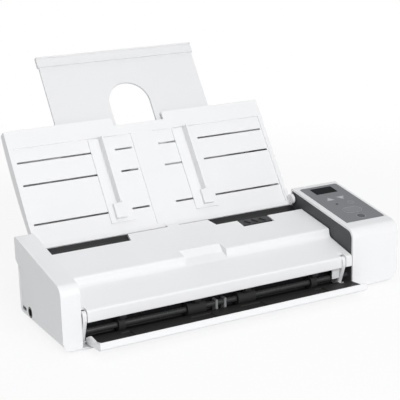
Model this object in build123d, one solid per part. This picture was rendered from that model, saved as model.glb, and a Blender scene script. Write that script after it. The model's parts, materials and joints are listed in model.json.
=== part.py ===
from build123d import *
from math import cos, pi, radians, sin, sqrt, tan
import os

# Portable sheet-fed document scanner, stood open for use.
# All sizes are in millimetres. X runs to the right, Y to the back, Z up.
# While modelling, X = 0 is the left end, Y = 0 the front of the end blocks, Z = 0 the table.

# Overall body
body_width = 316.0
body_depth = 97.0
front_height = 54.0
top_slope = 9.7
wall = 2.2
foot_height = 1.5
lower_rear_step = 5.5
step_drop = 21.6

# End blocks
left_block_width = 16.0
right_block_width = 48.0
left_bottom_round = 10.0
right_bottom_round = 12.0
block_front_round = 9.0
block_edge_round = 2.5
rim = 2.3
fit_gap = 0.1
side_plate_thickness = 2.5

# Straight paper path that falls from the rear mouth to the front exit
path_slope = 22.5
path_exit_y = 8.0
path_exit_z = 17.5
guide_thickness = 2.0
lower_guide_drop = 0.5
upper_guide_rise = 0.9
lower_guide_start = 6.8
lower_guide_from_rear = 4.5
upper_guide_start = 5.0
upper_guide_from_cover_rear = 1.25

# Top cover that holds the upper half of the paper path
cover_drop = 12.5
cover_from_rear = 18.0
flat_front_y = 35.0
flat_step = 6.9
flat_step_slant = 1.5
nose_y = 0.4
nose_z = 32.4
visor_bottom_z = 22.8
cover_side_gap = 0.6
hood_reach_left = 43.5
hood_reach_right = 34.0
hood_depth = 11.0
hood_thickness = 2.4
thumb_reach_left = 18.0
thumb_reach_right = 21.0
thumb_depth = 11.0
cover_open_angle = 60.0

# Front pivots of the top cover
pivot_y = 3.4
pivot_z = 28.6
ear_round = 3.4
ear_width = 3.4
left_ear_inset = 1.1
right_ear_inset = 10.6
pivot_pin_radius = 1.5
running_gap = 0.05

# Release latch at the rear edge of the cover
latch_from_block = 68.0
latch_width = 30.5
latch_depth = 12.0
latch_travel = 2.0
latch_gap = 0.5

# Input tray that leans back from the rear mouth
tray_lean = 34.5
tray_axis_from_rear = 4.5
tray_axis_above_path = 8.8
tray_set_back = 5.4
tray_below = 3.3
tray_length = 104.0
tray_side_gap = 0.9
tray_skin = 2.4
tray_field_depth = 1.2
tray_back_wall = 1.6
tray_pin_radius = 2.0
tray_ear_radius = 4.4
tray_ear_width = 2.6
guide_slot_rows = (18.4, 53.7, 74.4)
guide_slot_width = 1.7
guide_slot_from_block = 6.0
guide_slot_from_middle = 13.0
tray_top_margin = 16.7
band_half_width = 11.0
tray_notch_half_width = 24.7
tray_notch_depth = 7.4

# Paper guides on the tray
guide_half_spacing = 40.5
guide_fence_height = 8.2
guide_fence_thickness = 2.0
guide_fence_low = 24.3
guide_base_outward = 12.0
guide_base_inward = 10.5
guide_base_thickness = 1.1
guide_in_travel = 17.0
rack_tooth_pitch = 4.8
pinion_teeth = 8

rack_thickness = 1.3

# Pull-out extension in the top of the tray
extension_width = 152.0
extension_top = 171.0
extension_low = 84.0
extension_thickness = 2.2
extension_level = -4.1
handle_height = 9.7
rail_gap = 0.2
handle_overhang = 1.2
arch_half_width = 20.0
arch_low = 92.0
arch_apex = 138.2
extension_travel = 54.0

# Exit flap at the front
flap_pivot_y = 4.2
flap_pivot_z = 6.6
flap_lip_y = -22.0
flap_lip_z = 13.9
flap_left_x = 20.9
flap_side_gap = 0.6
flap_pin_radius = 1.0
flap_closed_angle = 57.0

# Rollers
exit_roller_radius = 5.5
exit_shaft_radius = 2.5
drive_roller_radius = 6.0
drive_shaft_radius = 3.0
feed_roller_radius = 8.0
feed_shaft_radius = 3.0
drive_path_place = 46.0
feed_path_place = 66.0
idler_radius = 3.6
idler_gap = 0.25
idler_half_width = 2.8
outer_tyre_width = 6.0
outer_tyre_from_middle = 93.0
inner_tyre_width = 17.0
inner_tyre_from_middle = 32.0

# Control panel on the right block
panel_inset_left = 5.0
panel_inset_right = 2.6
panel_front = 16.2
panel_from_rear = 7.1
panel_thickness = 1.4
panel_recess = 1.2
panel_ledge = 2.4
key_travel = 0.5
key_gap = 0.25

# Values worked out from the driving dimensions
middle_x = (left_block_width + body_width - right_block_width) / 2
right_block_x = body_width - right_block_width
slope_rise = tan(radians(top_slope))
path_rise = tan(radians(path_slope))


def top_z(y):
    return front_height + slope_rise * y


def flat_z(y):
    return top_z(y) - cover_drop


def path_z(y):
    return path_exit_z + path_rise * (y - path_exit_y)


rear_height = top_z(body_depth)
step_height = rear_height - step_drop
cover_rear_y = body_depth - cover_from_rear
hood_left_x = middle_x - hood_reach_left
hood_right_x = middle_x + hood_reach_right
thumb_left_x = middle_x - thumb_reach_left
thumb_right_x = middle_x + thumb_reach_right
left_ear_x = left_block_width + left_ear_inset
right_ear_x = right_block_x - right_ear_inset
latch_left_x = right_block_x - latch_from_block
lower_guide_end = (body_depth - lower_guide_from_rear - path_exit_y) / cos(radians(path_slope))
upper_guide_end = (cover_rear_y - upper_guide_from_cover_rear - path_exit_y) / cos(radians(path_slope))
tray_axis_y = body_depth - tray_axis_from_rear
tray_axis_z = path_z(tray_axis_y) + tray_axis_above_path
tray_left_x = left_block_width + tray_side_gap
tray_right_x = right_block_x - tray_side_gap
guide_slot_outer_x = left_block_width + guide_slot_from_block
guide_slot_inner_x = middle_x - guide_slot_from_middle
guide_inner_x = middle_x - guide_half_spacing
guide_fence_high = tray_length - tray_top_margin - 1.6
guide_out_travel = guide_inner_x - guide_base_outward - tray_left_x - 5.0
rack_row = guide_slot_rows[1]
rack_level = -tray_skin - 0.2
rack_reach = guide_out_travel + guide_half_spacing + 2.5
pinion_radius = rack_tooth_pitch * pinion_teeth / (2 * pi)
panel_left_x = right_block_x + panel_inset_left
panel_right_x = body_width - panel_inset_right
panel_middle_x = (panel_left_x + panel_right_x) / 2
panel_rear = body_depth / cos(radians(top_slope)) - panel_from_rear
foot_y = tray_axis_y + tray_set_back * cos(radians(tray_lean))
foot_z = tray_axis_z - tray_set_back * sin(radians(tray_lean))
extension_back = extension_level - extension_thickness
highest_y = foot_y + extension_top * sin(radians(tray_lean)) - extension_back * cos(radians(tray_lean))
origin_x = body_width / 2
origin_y = (flap_lip_y + highest_y) / 2

# Working planes: the block tops, the paper path and the tray's front face
top_plane = Plane(
    origin=(0, 0, front_height),
    x_dir=(1, 0, 0),
    z_dir=(0, -sin(radians(top_slope)), cos(radians(top_slope))),
)
flat_plane = Plane(
    origin=(0, 0, flat_z(0)),
    x_dir=(1, 0, 0),
    z_dir=(0, -sin(radians(top_slope)), cos(radians(top_slope))),
)
path_plane = Plane(
    origin=(0, path_exit_y, path_exit_z),
    x_dir=(1, 0, 0),
    z_dir=(0, -sin(radians(path_slope)), cos(radians(path_slope))),
)
tray_plane = Plane(
    origin=(0, foot_y, foot_z),
    x_dir=(1, 0, 0),
    z_dir=(0, -cos(radians(tray_lean)), sin(radians(tray_lean))),
)


# General shapes
def block(x0, x1, y0, y1, z0, z1):
    return Pos((x0 + x1) / 2, (y0 + y1) / 2, (z0 + z1) / 2) * Box(x1 - x0, y1 - y0, z1 - z0)


def side_face(points, radii):
    line = FilletPolyline(*points, radius=radii, close=True)
    return make_face(line)


def side_prism(points, radii, x0, x1):
    face = Plane.YZ.offset(x0) * side_face(points, radii)
    return extrude(face, amount=x1 - x0)


def cross_rod(y, z, radius, x0, x1):
    return Pos((x0 + x1) / 2, y, z) * (Rot(0, 90, 0) * Cylinder(radius, x1 - x0))


def path_point(place, height):
    y = path_exit_y + place * cos(radians(path_slope)) - height * sin(radians(path_slope))
    z = path_exit_z + place * sin(radians(path_slope)) + height * cos(radians(path_slope))
    return y, z


def mirrored(shape):
    return Pos(2 * middle_x, 0, 0) * mirror(shape, about=Plane.YZ)


def save(node, shape):
    placed = Pos(-origin_x, -origin_y, 0) * shape
    placed.label = node
    export_step(placed, f"parts/{node}.step")


# Roller places
exit_y, exit_z = path_point(0, -exit_roller_radius)
drive_y, drive_z = path_point(drive_path_place, -drive_roller_radius)
feed_y, feed_z = path_point(feed_path_place, -feed_roller_radius)
exit_idler_y, exit_idler_z = path_point(0, idler_radius + idler_gap)
drive_idler_y, drive_idler_z = path_point(drive_path_place, idler_radius + idler_gap)
outer_tyre = (middle_x - outer_tyre_from_middle, middle_x - outer_tyre_from_middle + outer_tyre_width)
inner_tyre = (middle_x - inner_tyre_from_middle, middle_x - inner_tyre_from_middle + inner_tyre_width)
tyre_spans = (outer_tyre, inner_tyre)


# End blocks: both share one side profile
def block_profile(inset):
    step_y = body_depth - lower_rear_step
    points = [
        (0, foot_height),
        (step_y, foot_height),
        (step_y, step_height - 2),
        (body_depth, step_height + 1.5),
        (body_depth, rear_height),
        (0, front_height),
    ]
    radii = [block_edge_round, block_edge_round, 0, 0, block_edge_round, block_front_round]
    face = make_face(FilletPolyline(*points, radius=radii, close=True))
    if inset:
        face = offset(face, amount=-inset)
    return face


def block_prism(inset, x0, x1):
    return extrude(Plane.YZ.offset(x0) * block_profile(inset), amount=x1 - x0)


def end_front_prism(x_outer, x_inner, bottom_round, inset):
    low = foot_height + inset
    high = rear_height + 5
    x_far = x_outer + inset if x_outer < x_inner else x_outer - inset
    points = [(x_inner, low), (x_far, low), (x_far, high), (x_inner, high)]
    radii = [0, bottom_round - inset, 0, 0]
    face = Plane.XZ * make_face(FilletPolyline(*points, radius=radii, close=True))
    return Pos(0, body_depth + 5, 0) * extrude(face, amount=body_depth + 10)


def port_places():
    return {"data": (body_depth - 12.5, 11.5), "power": (body_depth - 25.0, 12.0)}


port_bay_depth = 0.8
data_port_width = 8.4
data_port_height = 3.4
jack_radius = 3.15
jack_body_radius = 4.6
jack_depth = 9.0


def make_left_cap():
    outer = block_prism(0, 0, left_block_width)
    outer &= end_front_prism(0, left_block_width + 1, left_bottom_round, 0)
    cavity = block_prism(wall, -1, left_block_width + 1)
    cavity &= end_front_prism(0, left_block_width + 2, left_bottom_round, wall)
    cap = outer - cavity
    rear = body_depth
    bay_points = [
        (rear - 6, 47), (rear - 13, 45.8), (rear - 21.5, 42), (rear - 27, 39),
        (rear - 30.5, 31.5), (rear - 32.5, 3.2), (rear - 8, 3.2), (rear - 7, 12),
    ]
    bay = extrude(Plane.YZ * make_face(Polyline(*bay_points, close=True)), amount=port_bay_depth)
    cap -= bay
    data_y, data_z = port_places()["data"]
    jack_y, jack_z = port_places()["power"]
    half = data_port_width / 2 + fit_gap
    tall = data_port_height / 2 + fit_gap
    cap -= block(-1, wall + 1, data_y - half, data_y + half, data_z - tall, data_z + tall)
    cap -= cross_rod(jack_y, jack_z, jack_body_radius + fit_gap, -1, wall + 3)
    return cap


def make_right_cap():
    outer = block_prism(0, right_block_x, body_width)
    outer &= end_front_prism(body_width, right_block_x - 1, right_bottom_round, 0)
    cavity = block_prism(wall, right_block_x - 1, body_width + 1)
    cavity &= end_front_prism(body_width, right_block_x - 2, right_bottom_round, wall)
    cap = outer - cavity
    cap -= top_plane * block(
        panel_left_x - fit_gap, panel_right_x + fit_gap, panel_front - fit_gap, panel_rear + fit_gap,
        -panel_recess, 5,
    )
    cap -= top_plane * block(
        panel_left_x + panel_ledge, panel_right_x - panel_ledge, panel_front + panel_ledge,
        panel_rear - panel_ledge, -wall - 2, 5,
    )
    return cap


def shaft_holes(x0, x1):
    holes = cross_rod(exit_y, exit_z, exit_shaft_radius + running_gap, x0, x1)
    holes += cross_rod(drive_y, drive_z, drive_shaft_radius + running_gap, x0, x1)
    holes += cross_rod(feed_y, feed_z, feed_shaft_radius + running_gap, x0, x1)
    holes += cross_rod(tray_axis_y, tray_axis_z, tray_pin_radius + running_gap, x0, x1)
    holes += cross_rod(flap_pivot_y, flap_pivot_z, flap_pin_radius + running_gap, x0, x1)
    return holes


def make_side_plate(x_inner, x_outer):
    x0, x1 = min(x_inner, x_outer), max(x_inner, x_outer)
    plate = block_prism(wall + fit_gap, x0, x1)
    return plate - shaft_holes(x0 - 1, x1 + 1)


left_plate_inner = left_block_width - 0.2
left_plate_outer = left_plate_inner - side_plate_thickness
right_plate_inner = right_block_x + 0.2
right_plate_outer = right_plate_inner + side_plate_thickness

# Base pan between the blocks: floor, rear wall and the ledge under the tray
pan_top_z = foot_height + 2.0


def make_base_pan():
    step_y = body_depth - lower_rear_step
    ledge_z = path_z(lower_guide_end_y()) - 4.2
    points = [
        (0, foot_height), (step_y, foot_height), (step_y, ledge_z - 3.2), (body_depth - 1.2, ledge_z),
        (body_depth - 1.2, ledge_z + 2.4), (body_depth - 3.2, ledge_z + 2.4), (body_depth - 3.2, ledge_z + 1.2),
        (step_y - 2.2, ledge_z - 1.6), (step_y - 2.2, pan_top_z), (0, pan_top_z),
    ]
    radii = [1.0, block_edge_round, 0, 0, 0, 0, 0, 0, 0, 0]
    return side_prism(points, radii, left_block_width, right_block_x)


def lower_guide_end_y():
    return path_point(lower_guide_end, -lower_guide_drop)[0]


# Dark lower guide with its roller windows, glass window and roller trough
glass_from_block = 14.0
glass_left_x = left_block_width + glass_from_block
glass_right_x = right_block_x - glass_from_block
glass_start = 25.0
glass_end = 35.0
trough_floor_z = 4.0
trough_front_y = 6.9


def make_lower_guide():
    x0 = left_plate_inner
    x1 = right_plate_inner
    low = -lower_guide_drop - guide_thickness
    guide = path_plane * block(x0, x1, lower_guide_start, lower_guide_end, low, -lower_guide_drop)
    front_y, front_z = path_point(lower_guide_start, -lower_guide_drop)
    back_y, back_z = path_point(lower_guide_start + 2.0, low)
    trough = [
        (front_y, front_z), (back_y, back_z), (back_y, trough_floor_z), (trough_front_y, trough_floor_z),
        (trough_front_y, trough_floor_z + 1.5), (back_y - 1.1, trough_floor_z + 1.5), (back_y - 1.1, front_z - 1.0),
    ]
    guide += side_prism(trough, [0, 0, 0, 0, 0, 1.5, 0], left_ear_x + ear_width + 0.3, right_ear_x - 0.3)
    guide += tray_plane * block(
        left_block_width + 0.2, right_block_x - 0.2, -tray_below - 4.6, -tray_below - 0.6, -1.4, -0.2
    )
    guide -= path_plane * block(glass_left_x, glass_right_x, glass_start, glass_end, low - 1, 2)
    for corner in (x0 - 1, right_block_x - 0.2):
        guide -= path_plane * block(corner, corner + 1.4, lower_guide_end - 7.5, lower_guide_end + 5, low - 5, 5)
    window_rows = (
        (drive_path_place, drive_roller_radius, tyre_spans),
        (feed_path_place, feed_roller_radius, (inner_tyre,)),
    )
    for place, radius, spans in window_rows:
        for left, right in spans:
            reach = sqrt(radius**2 - (radius - lower_guide_drop - guide_thickness) ** 2) + 1.2
            window = path_plane * block(left - 1.2, right + 1.2, place - reach, place + reach, low - 1, 2)
            guide -= window
            guide -= mirrored(window)
    return guide


def make_lower_glass():
    low = -lower_guide_drop - guide_thickness
    return path_plane * block(
        glass_left_x + fit_gap, glass_right_x - fit_gap, glass_start + fit_gap, glass_end - fit_gap,
        low, -lower_guide_drop,
    )


def make_lower_sensor():
    low = -lower_guide_drop - guide_thickness
    return path_plane * block(glass_left_x - 3, glass_right_x + 3, glass_start - 3, glass_end + 3, low - 9.5, low)


# Fixed ears that carry the front pivot of the top cover
def make_ear(x0):
    points = [
        (6.3, pan_top_z), (9.4, pan_top_z), (pivot_y + ear_round, pivot_z - 4), (pivot_y + ear_round, pivot_z + ear_round),
        (pivot_y - ear_round, pivot_z + ear_round), (pivot_y - ear_round, pivot_z - 4), (6.3, pan_top_z + 4.5),
    ]
    ear = side_prism(points, [0, 0, 2.0, ear_round, ear_round, 2.0, 2.0], x0, x0 + ear_width)
    ear -= cross_rod(pivot_y, pivot_z, pivot_pin_radius + running_gap, x0 - 1, x0 + ear_width + 1)
    return ear - cross_rod(exit_y, exit_z, exit_shaft_radius + running_gap, x0 - 1, x0 + ear_width + 1)


def make_right_ear():
    web = block(right_ear_x - 6.9, right_ear_x + 0.5, 5.2, 6.4, 12.5, 22.0)
    return make_ear(right_ear_x) + web


# Top cover: one moulded shell with a stepped top, hollow underneath
cover_left_x = left_block_width + cover_side_gap
cover_right_x = right_block_x - cover_side_gap


def cover_outline():
    rear_low = path_point(upper_guide_end, upper_guide_rise + guide_thickness)
    front_low = path_point(upper_guide_start - 1, upper_guide_rise + guide_thickness)
    return [
        (cover_rear_y, flat_z(cover_rear_y)),
        (flat_front_y, flat_z(flat_front_y)),
        (flat_front_y - flat_step_slant, flat_z(flat_front_y) - flat_step),
        (nose_y, nose_z),
        (0, visor_bottom_z),
        (front_low[0], visor_bottom_z),
        (cover_rear_y, rear_low[1] + 0.6),
    ]


def make_cover_shell():
    points = cover_outline()
    shell = side_prism(points, [0.8, 2.2, 5.0, 1.8, 0.8, 0, 0], cover_left_x, cover_right_x)
    roof = wall / cos(radians(top_slope))
    step_foot_z = flat_z(flat_front_y) - flat_step
    shelf_rise = (step_foot_z - nose_z) / (flat_front_y - nose_y)
    inner = [
        (cover_rear_y - wall, flat_z(cover_rear_y - wall) - roof),
        (flat_front_y + wall, flat_z(flat_front_y + wall) - roof),
        (flat_front_y + wall, step_foot_z + shelf_rise * wall - roof),
        (nose_y + wall, nose_z + shelf_rise * wall - roof - 0.3),
        (wall, visor_bottom_z - 5),
        (cover_rear_y - wall, visor_bottom_z - 5),
    ]
    shell -= side_prism(inner, [0] * 6, cover_left_x + wall, cover_right_x - wall)
    # scooped finger grip in the front edge of the flat
    pad = flat_plane * block(
        thumb_left_x - wall, thumb_right_x + wall, flat_front_y, flat_front_y + thumb_depth + wall,
        -flat_step - 0.2, -0.4,
    )
    shell += pad & side_prism(points, [0] * 7, cover_left_x + wall, cover_right_x - wall)
    shell -= thumb_scoop()
    # rear hood that reaches back to the tray in the middle
    hood_start = cover_rear_y - 3
    hood = flat_plane * (
        Pos(0, 0, -hood_thickness)
        * extrude(
            make_face(
                Polyline(
                    (hood_left_x - 3, hood_start / cos(radians(top_slope))),
                    (hood_right_x + 3, hood_start / cos(radians(top_slope))),
                    (hood_right_x, (cover_rear_y + hood_depth) / cos(radians(top_slope))),
                    (hood_left_x, (cover_rear_y + hood_depth) / cos(radians(top_slope))),
                    close=True,
                )
            ),
            amount=hood_thickness,
        )
    )
    shell += hood
    hood_end = (cover_rear_y + hood_depth) / cos(radians(top_slope))
    shell += flat_plane * block(middle_x - 5, middle_x + 6, hood_end - 1, hood_end + 3, -0.9, 0)
    # room for the two front pivots
    slot_back = pivot_y + ear_round + 0.5
    shell -= block(cover_left_x - 1, left_ear_x + ear_width + 0.6, -2, slot_back, 15, 40)
    shell += block(
        left_ear_x + ear_width + 0.6, left_ear_x + ear_width + 0.6 + wall, nose_y + 1.0,
        pivot_y + ear_round, visor_bottom_z, nose_z + 0.6,
    )
    slot_left = right_ear_x - 0.6
    slot_right = right_ear_x + ear_width + 0.6
    for side_x in (slot_left - wall, slot_right):
        shell += block(side_x, side_x + wall, nose_y + 1.0, pivot_y + ear_round, visor_bottom_z, nose_z + 0.6)
    shell -= block(slot_left, slot_right, -2, slot_back, 15, 40)
    shell -= cross_rod(pivot_y, pivot_z, pivot_pin_radius, cover_left_x - 1, left_ear_x + ear_width + 5)
    shell -= cross_rod(pivot_y, pivot_z, pivot_pin_radius, slot_left - wall - 1, slot_right + wall + 1)
    # pocket with its own floor for the release latch
    rear = cover_rear_y / cos(radians(top_slope))
    shell += flat_plane * block(
        latch_left_x - latch_gap - wall, latch_left_x + latch_width + latch_gap + wall,
        rear - latch_depth - 1.0 - wall, rear - 0.3, -4.6, -0.5,
    )
    shell -= flat_plane * latch_room()
    return shell


def thumb_scoop():
    rear = flat_front_y + thumb_depth
    front = flat_front_y - flat_step_slant - 3.0
    step_foot_z = flat_z(flat_front_y) - flat_step
    shelf_rise = (step_foot_z - nose_z) / (flat_front_y - flat_step_slant - nose_y)
    points = [
        (rear, flat_z(rear) + 2), (rear, flat_z(rear) - 0.6), (rear - 5.5, flat_z(rear) - 5.6),
        (front, nose_z + shelf_rise * (front - nose_y) + 0.02), (front, flat_z(rear) + 2),
    ]
    return side_prism(points, [0, 0, 4.0, 0, 0], thumb_left_x, thumb_right_x)


def latch_room():
    rear = cover_rear_y / cos(radians(top_slope))
    return block(
        latch_left_x - latch_gap, latch_left_x + latch_width + latch_gap, rear - latch_depth - 1.0,
        rear + 5, -3.0, 5,
    )


def make_latch_pad():
    rear = cover_rear_y / cos(radians(top_slope))
    pad = block(
        latch_left_x, latch_left_x + latch_width, rear - latch_depth + latch_travel, rear - 0.2, -2.95, -0.5,
    )
    ribs = 3
    pitch = latch_width / (ribs + 1)
    for i in range(ribs):
        rib = Rot(0, 0, 32) * Box(1.8, 6.4, 1.0)
        pad += Pos(latch_left_x + pitch * (i + 1), rear - (latch_depth - latch_travel) / 2 - 0.1, -0.1) * rib
    return flat_plane * pad


def make_upper_guide():
    low = upper_guide_rise
    x0 = cover_left_x + wall + fit_gap
    x1 = cover_right_x - wall - fit_gap
    guide = path_plane * block(x0, x1, upper_guide_start, upper_guide_end - 2.4, low, low + guide_thickness)
    guide -= path_plane * block(glass_left_x, glass_right_x, glass_start, glass_end, low - 1, low + 5)
    for left, right in tyre_spans:
        window = path_plane * block(
            (left + right) / 2 - idler_half_width - 0.3, (left + right) / 2 + idler_half_width + 0.3,
            drive_path_place - idler_radius - 0.6, drive_path_place + idler_radius + 0.6, low - 1, low + 5,
        )
        guide -= window
        guide -= mirrored(window)
    guide -= path_plane * block(pad_left_x, pad_right_x, pad_start, pad_end, low - 1, low + 5)
    for left, right in tyre_spans:
        middle = (left + right) / 2
        for side_x in (middle - idler_half_width - 1.8, middle + idler_half_width + 0.3):
            cheeks = path_plane * block(side_x, side_x + 1.5, -2.2, upper_guide_start + 4, 2.2, 5.6)
            cheeks += path_plane * block(
                side_x, side_x + 1.5, drive_path_place - 3, drive_path_place + 3, low + 0.5, 5.8
            )
            guide += cheeks
            guide += mirrored(cheeks)
    return guide


pad_left_x = middle_x - 33.0
pad_right_x = middle_x + 33.0
pad_start = 61.5
pad_end = 70.5


def make_upper_glass():
    low = upper_guide_rise
    return path_plane * block(
        glass_left_x + fit_gap, glass_right_x - fit_gap, glass_start + fit_gap, glass_end - fit_gap,
        low, low + guide_thickness,
    )


def make_upper_sensor():
    low = upper_guide_rise + guide_thickness
    return path_plane * block(glass_left_x - 3, glass_right_x + 3, glass_start - 1, glass_end + 1, low, low + 5)


def make_separation_pad():
    return path_plane * block(
        pad_left_x + fit_gap, pad_right_x - fit_gap, pad_start + fit_gap, pad_end - fit_gap,
        idler_gap, upper_guide_rise + guide_thickness,
    )


def make_cover_pin(x0, x1):
    return cross_rod(pivot_y, pivot_z, pivot_pin_radius, x0, x1)


# Driven shafts with rubber tyres
shaft_left_x = left_plate_outer + 0.3
shaft_right_x = right_plate_outer + 3.0


def make_shaft(y, z, radius):
    return cross_rod(y, z, radius, shaft_left_x, shaft_right_x)


def make_tyres(y, z, radius, bore, spans):
    tyres = []
    for left, right in spans:
        ring = cross_rod(y, z, radius, left, right) - cross_rod(y, z, bore, left - 1, right + 1)
        tyres.append(ring)
        tyres.append(mirrored(ring))
    return Compound(children=tyres)


def make_driven_roller(y, z, radius, shaft_radius, spans):
    roller = make_shaft(y, z, shaft_radius)
    for left, right in spans:
        tyre = cross_rod(y, z, radius, left, right)
        roller += tyre
        roller += mirrored(tyre)
    return roller


def make_shaft_saddles():
    reach = exit_shaft_radius + 1.0
    saddles = []
    for left in (middle_x - 5.4, middle_x + 2.6):
        saddle = block(left, left + 2, exit_y - reach + 0.4, exit_y + reach - 0.4, trough_floor_z + 1.5, exit_z + reach)
        saddles.append(saddle - cross_rod(exit_y, exit_z, exit_shaft_radius + running_gap, left - 1, left + 3))
    return Compound(children=saddles)


def make_idlers(y, z):
    wheels = []
    for left, right in tyre_spans:
        middle = (left + right) / 2
        wheel = cross_rod(y, z, idler_radius, middle - idler_half_width, middle + idler_half_width)
        wheels.append(wheel)
        wheels.append(mirrored(wheel))
    return Compound(children=wheels)


# Input tray, drawn flat: x across, y up the slope from the foot, z out of the front face
def make_tray_bed():
    bed = Pos(0, 0, -tray_skin) * extrude(make_face(tray_outline()), amount=tray_skin)
    field_high = tray_length - tray_top_margin
    bed -= block(tray_left_x + 4, tray_right_x - 4, 1.0, field_high, -tray_field_depth, 1)
    bed += block(
        middle_x - band_half_width, middle_x + band_half_width, 0.5, field_high + 0.5, -tray_skin, -0.2
    )
    for row in guide_slot_rows:
        slot = block(
            guide_slot_outer_x, guide_slot_inner_x, row - guide_slot_width / 2, row + guide_slot_width / 2, -9, 2
        )
        bed -= slot
        bed -= mirrored(slot)
    bed += block(middle_x - 5, middle_x + 6, -tray_below, 0.6, -1.0, 0.5)
    rail_x = middle_x - extension_width / 2 - rail_gap
    lip = extension_back - rail_gap
    top_row = guide_slot_rows[2]
    rail_runs = (
        (30, rack_row - 10.2, lip + 0.4),
        (rack_row + 10.2, top_row - 3.0, lip - 0.9),
        (top_row + 3.0, tray_length - 12.0, lip - 0.9),
    )
    for low, high, depth in rail_runs:
        rail = block(rail_x - 1.6, rail_x, low, high, depth, -tray_skin)
        rail += block(rail_x - 1.6, rail_x + 2.4, low, high, extension_level + rail_gap, -tray_skin)
        if depth < lip:
            rail += block(rail_x - 1.6, rail_x + 2.4, low, high, depth, lip)
        bed += rail
        bed += mirrored(rail)
    bed += Pos(middle_x, rack_row, -tray_skin - 0.8) * Cylinder(1.2, 1.6)
    ear = tray_ear()
    bed += ear
    bed += mirrored(ear)
    return tray_plane * bed


def tray_outline():
    notch_left = middle_x - tray_notch_half_width
    notch_right = middle_x + tray_notch_half_width
    notch_low = tray_length - tray_notch_depth
    points = [
        (tray_left_x, -tray_below), (tray_right_x, -tray_below), (tray_right_x, tray_length),
        (notch_right, tray_length), (notch_right, notch_low), (notch_left, notch_low),
        (notch_left, tray_length), (tray_left_x, tray_length),
    ]
    return FilletPolyline(*points, radius=[0, 0, 2.0, 2.0, 0, 0, 2.0, 2.0], close=True)


def tray_ear():
    disc = Pos(tray_left_x + tray_ear_width / 2, 0, tray_set_back) * (
        Rot(0, 90, 0) * Cylinder(tray_ear_radius, tray_ear_width)
    )
    web = block(
        tray_left_x, tray_left_x + tray_ear_width, -tray_ear_radius + 1.1, tray_ear_radius, -tray_skin,
        tray_set_back,
    )
    brace = block(tray_left_x, tray_left_x + tray_ear_width, 0, 13, -tray_skin, 1.0)
    ear = disc + web + brace
    hole = Pos(tray_left_x, 0, tray_set_back) * (Rot(0, 90, 0) * Cylinder(tray_pin_radius, 20))
    return ear - hole


def tray_back_profile(inset):
    low_end = (-tray_below + inset, -4.6 + inset)
    top_end = (tray_length - inset, -9.2 + inset)
    belly = (tray_length * 0.58, -10.8 + inset)
    curve = ThreePointArc(low_end, belly, top_end)
    sides = Polyline(top_end, (top_end[0], -tray_skin), (low_end[0], -tray_skin), low_end)
    return make_face(curve + sides)


def make_tray_back():
    outer = extrude(Plane.YZ.offset(tray_left_x) * tray_back_profile(0), amount=tray_right_x - tray_left_x)
    inner = extrude(
        Plane.YZ.offset(tray_left_x + tray_back_wall) * tray_back_profile(tray_back_wall),
        amount=tray_right_x - tray_left_x - 2 * tray_back_wall,
    )
    back = outer - inner
    half = extension_width / 2 + 0.4
    back -= block(
        middle_x - half, middle_x + half, tray_length - 5, tray_length + 5,
        extension_back - 0.3, extension_level + 0.3,
    )
    back -= block(
        middle_x - tray_notch_half_width, middle_x + tray_notch_half_width,
        tray_length - tray_notch_depth, tray_length + 1, -12, 2,
    )
    return tray_plane * back


def make_tray_pins():
    pin = cross_rod(tray_axis_y, tray_axis_z, tray_pin_radius, left_plate_outer + 0.3, tray_left_x + tray_ear_width)
    return Compound(children=[pin, mirrored(pin)])


def make_extension():
    half = extension_width / 2
    plate = block(
        middle_x - half, middle_x + half, extension_low, extension_top - 1, extension_back, extension_level
    )
    arch = block(
        middle_x - arch_half_width, middle_x + arch_half_width, arch_low, arch_apex - arch_half_width,
        extension_back - 1, extension_level + 1,
    )
    arch += Pos(middle_x, arch_apex - arch_half_width, extension_back) * Cylinder(arch_half_width, 12)
    plate -= arch
    bar_low = extension_top - handle_height
    plate += block(
        middle_x - half - handle_overhang, middle_x + half + handle_overhang, bar_low, extension_top,
        extension_back, extension_level + 1.0,
    )
    ridge = 1.3
    for low in (bar_low, extension_top - ridge):
        plate += block(
            middle_x - half - handle_overhang, middle_x + half + handle_overhang, low, low + ridge,
            extension_back, extension_level + 1.9,
        )
    return tray_plane * plate


def make_guide():
    outer_x = guide_inner_x - guide_base_outward
    inner_x = guide_inner_x + guide_base_inward
    base_low = -tray_field_depth + 0.05
    guide = block(outer_x, inner_x, 8.0, guide_fence_high + 0.5, base_low, base_low + guide_base_thickness)
    guide += block(
        guide_inner_x - guide_fence_thickness, guide_inner_x, guide_fence_low, guide_fence_high, base_low,
        guide_fence_height,
    )
    guide += block(
        guide_inner_x - 7, guide_inner_x + 2.5, 11.0, guide_fence_low, base_low, 3.4
    )
    for row in guide_slot_rows:
        guide += block(
            guide_inner_x - 5, guide_inner_x + 5, row - guide_slot_width / 2 + 0.15,
            row + guide_slot_width / 2 - 0.15, -tray_skin - 0.2, base_low,
        )
    return guide


def make_rack():
    start = guide_inner_x - 4.5
    end = guide_inner_x + rack_reach
    pitch_line = rack_row - pinion_radius
    rack = block(start, end, pitch_line - 3.4, pitch_line - 0.9, rack_level - rack_thickness, rack_level)
    rack += block(start, start + 9, pitch_line - 3.4, rack_row + 0.6, rack_level - rack_thickness, rack_level)
    first = middle_x - rack_tooth_pitch * int((middle_x - start - 11) / rack_tooth_pitch)
    x = first
    while x < end - 1:
        rack += block(
            x - rack_tooth_pitch * 0.18, x + rack_tooth_pitch * 0.18, pitch_line - 1.0, pitch_line + 0.7,
            rack_level - rack_thickness, rack_level,
        )
        x += rack_tooth_pitch
    return rack


def make_rack_keepers():
    start = guide_inner_x - 4.5
    low_keeper, top_keeper = [
        block(start, start + 9, row - 2.2, row + 2.2, rack_level - rack_thickness, rack_level)
        for row in (guide_slot_rows[0], guide_slot_rows[2])
    ]
    return low_keeper + top_keeper


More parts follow.
